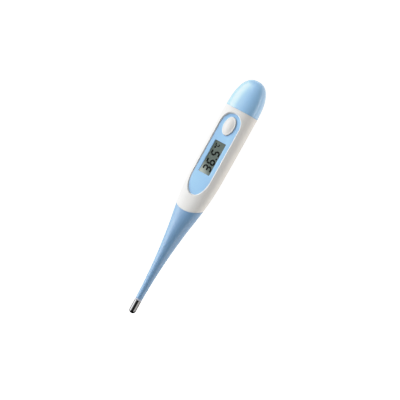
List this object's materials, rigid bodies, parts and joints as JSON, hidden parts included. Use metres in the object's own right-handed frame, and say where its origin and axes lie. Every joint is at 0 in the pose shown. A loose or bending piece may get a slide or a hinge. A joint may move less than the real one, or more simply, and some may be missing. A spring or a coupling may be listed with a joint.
{
  "type": "digital thermometer",
  "caption": "Pen-shaped clinical thermometer with a sunk face panel, display window, oval push button, pull-off battery cap and a bendable soft probe ending in a steel tip.",
  "frame": {"origin": "middle of the flat back face, on the plane the thermometer lies on", "axes": "+X along the body towards the battery cap (steel tip at -X), +Z out of the display face, +Y towards the tops of the digits"},
  "size_m": [0.135, 0.0188, 0.0125],
  "materials": {
    "white_abs": "moulded, low gloss white",
    "cap_blue": "polished pale blue",
    "panel_blue": "smooth satin pale blue",
    "clear_window": "clear, polished",
    "lcd_cell": "grey-green display cell",
    "film": "thin optical film",
    "reflector": "satin reflector film",
    "inner_abs": "plain moulded",
    "zebra": "layered elastomer",
    "button_white": "moulded white, satin",
    "seal_rubber": "soft black seal",
    "silicone": "translucent silicone",
    "dome_metal": "stamped spring metal",
    "pcb": "green solder mask",
    "black_epoxy": "black potting",
    "smd": "small chip components",
    "brass": "rolled sheet",
    "piezo": "fired ceramic with silver",
    "contact_metal": "nickel-plated spring strip",
    "cell_steel": "nickel-plated can",
    "cell_gasket": "moulded gasket",
    "tpe_blue": "satin soft blue",
    "collar_grey": "pale adhesive ring",
    "tip_steel": "polished stainless",
    "bead": "glass-coated bead",
    "epoxy_fill": "thermal filler",
    "wire_red": "insulated wire",
    "lead_copper": "enamelled copper"
  },
  "bodies": {
    "body": {"housing": "white_abs", "cap_seal": "seal_rubber", "face_panel": "panel_blue", "display_window": "clear_window", "lcd_glass": "lcd_cell", "lcd_polarizer": "film", "lcd_reflector": "reflector", "lcd_frame": "inner_abs", "zebra_connector": "zebra", "button_seal": "silicone", "switch_dome": "dome_metal", "circuit_board": "pcb", "control_chip": "black_epoxy", "smd_parts": "smd", "chassis": "inner_abs", "buzzer_plate": "brass", "buzzer_ceramic": "piezo", "buzzer_springs": "contact_metal", "positive_contact": "contact_metal", "negative_contact": "contact_metal", "probe_base": "tpe_blue", "lead_wires": "wire_red"},
    "cap": {"battery_cap": "cap_blue"},
    "button": {"power_button": "button_white"},
    "tray": {"battery_tray": "inner_abs", "button_cell": "cell_steel", "cell_gasket": "cell_gasket"},
    "link_1": {"probe_link_1": "tpe_blue"},
    "link_2": {"probe_link_2": "tpe_blue"},
    "link_3": {"probe_link_3": "tpe_blue"},
    "link_4": {"probe_link_4": "tpe_blue"},
    "link_5": {"probe_link_5": "tpe_blue"},
    "link_6": {"probe_link_6": "tpe_blue"},
    "link_7": {"probe_link_7": "tpe_blue"},
    "link_8": {"probe_link_8": "tpe_blue"},
    "link_9": {"probe_link_9": "tpe_blue"},
    "tip": {"probe_tip_sleeve": "tpe_blue", "tip_collar": "collar_grey", "tip_cap": "tip_steel", "thermistor": "bead", "thermal_epoxy": "epoxy_fill", "tip_leads": "lead_copper"}
  },
  "joints": [
    {"name": "button_press", "type": "slide", "parent": "body", "child": "button", "axis": [0, 0, -1], "range_m": [0, 0.0005]},
    {"name": "cap_pull", "type": "slide", "parent": "body", "child": "cap", "axis": [1, 0, 0], "range_m": [0, 0.03]},
    {"name": "tray_slide", "type": "slide", "parent": "body", "child": "tray", "axis": [1, 0, 0], "range_m": [0, 0.008]},
    {"name": "probe_pitch_1", "type": "hinge", "parent": "body", "child": "link_1", "pos_m": [-0.049, 0, 0.0062], "axis": [0, 1, 0], "range_deg": [-12, 12], "stiffness_Nm_per_rad": 0.006},
    {"name": "probe_yaw_1", "type": "hinge", "parent": "link_1", "child": "link_2", "pos_m": [-0.0522, 0, 0.0062], "axis": [0, 0, 1], "range_deg": [-12, 12], "stiffness_Nm_per_rad": 0.005},
    {"name": "probe_pitch_2", "type": "hinge", "parent": "link_2", "child": "link_3", "pos_m": [-0.0554, 0, 0.0062], "axis": [0, 1, 0], "range_deg": [-12, 12], "stiffness_Nm_per_rad": 0.001},
    {"name": "probe_yaw_2", "type": "hinge", "parent": "link_3", "child": "link_4", "pos_m": [-0.0586, 0, 0.0062], "axis": [0, 0, 1], "range_deg": [-12, 12], "stiffness_Nm_per_rad": 0.0008},
    {"name": "probe_pitch_3", "type": "hinge", "parent": "link_4", "child": "link_5", "pos_m": [-0.0618, 0, 0.0062], "axis": [0, 1, 0], "range_deg": [-12, 12], "stiffness_Nm_per_rad": 0.0005},
    {"name": "probe_yaw_3", "type": "hinge", "parent": "link_5", "child": "link_6", "pos_m": [-0.065, 0, 0.0062], "axis": [0, 0, 1], "range_deg": [-12, 12], "stiffness_Nm_per_rad": 0.0004},
    {"name": "probe_pitch_4", "type": "hinge", "parent": "link_6", "child": "link_7", "pos_m": [-0.0682, 0, 0.0062], "axis": [0, 1, 0], "range_deg": [-12, 12], "stiffness_Nm_per_rad": 0.0004},
    {"name": "probe_yaw_4", "type": "hinge", "parent": "link_7", "child": "link_8", "pos_m": [-0.0714, 0, 0.0062], "axis": [0, 0, 1], "range_deg": [-12, 12], "stiffness_Nm_per_rad": 0.0003},
    {"name": "probe_pitch_5", "type": "hinge", "parent": "link_8", "child": "link_9", "pos_m": [-0.0746, 0, 0.0062], "axis": [0, 1, 0], "range_deg": [-12, 12], "stiffness_Nm_per_rad": 0.0007},
    {"name": "probe_yaw_5", "type": "hinge", "parent": "link_9", "child": "tip", "pos_m": [-0.0778, 0, 0.0062], "axis": [0, 0, 1], "range_deg": [-12, 12], "stiffness_Nm_per_rad": 0.0005}
  ],
  "couplings": [
    {"joint": "probe_pitch_2", "follows": "probe_pitch_1", "ratio": 1},
    {"joint": "probe_yaw_2", "follows": "probe_yaw_1", "ratio": 1},
    {"joint": "probe_pitch_3", "follows": "probe_pitch_1", "ratio": 1},
    {"joint": "probe_yaw_3", "follows": "probe_yaw_1", "ratio": 1},
    {"joint": "probe_pitch_4", "follows": "probe_pitch_1", "ratio": 1},
    {"joint": "probe_yaw_4", "follows": "probe_yaw_1", "ratio": 1},
    {"joint": "probe_pitch_5", "follows": "probe_pitch_1", "ratio": 1},
    {"joint": "probe_yaw_5", "follows": "probe_yaw_1", "ratio": 1}
  ]
}
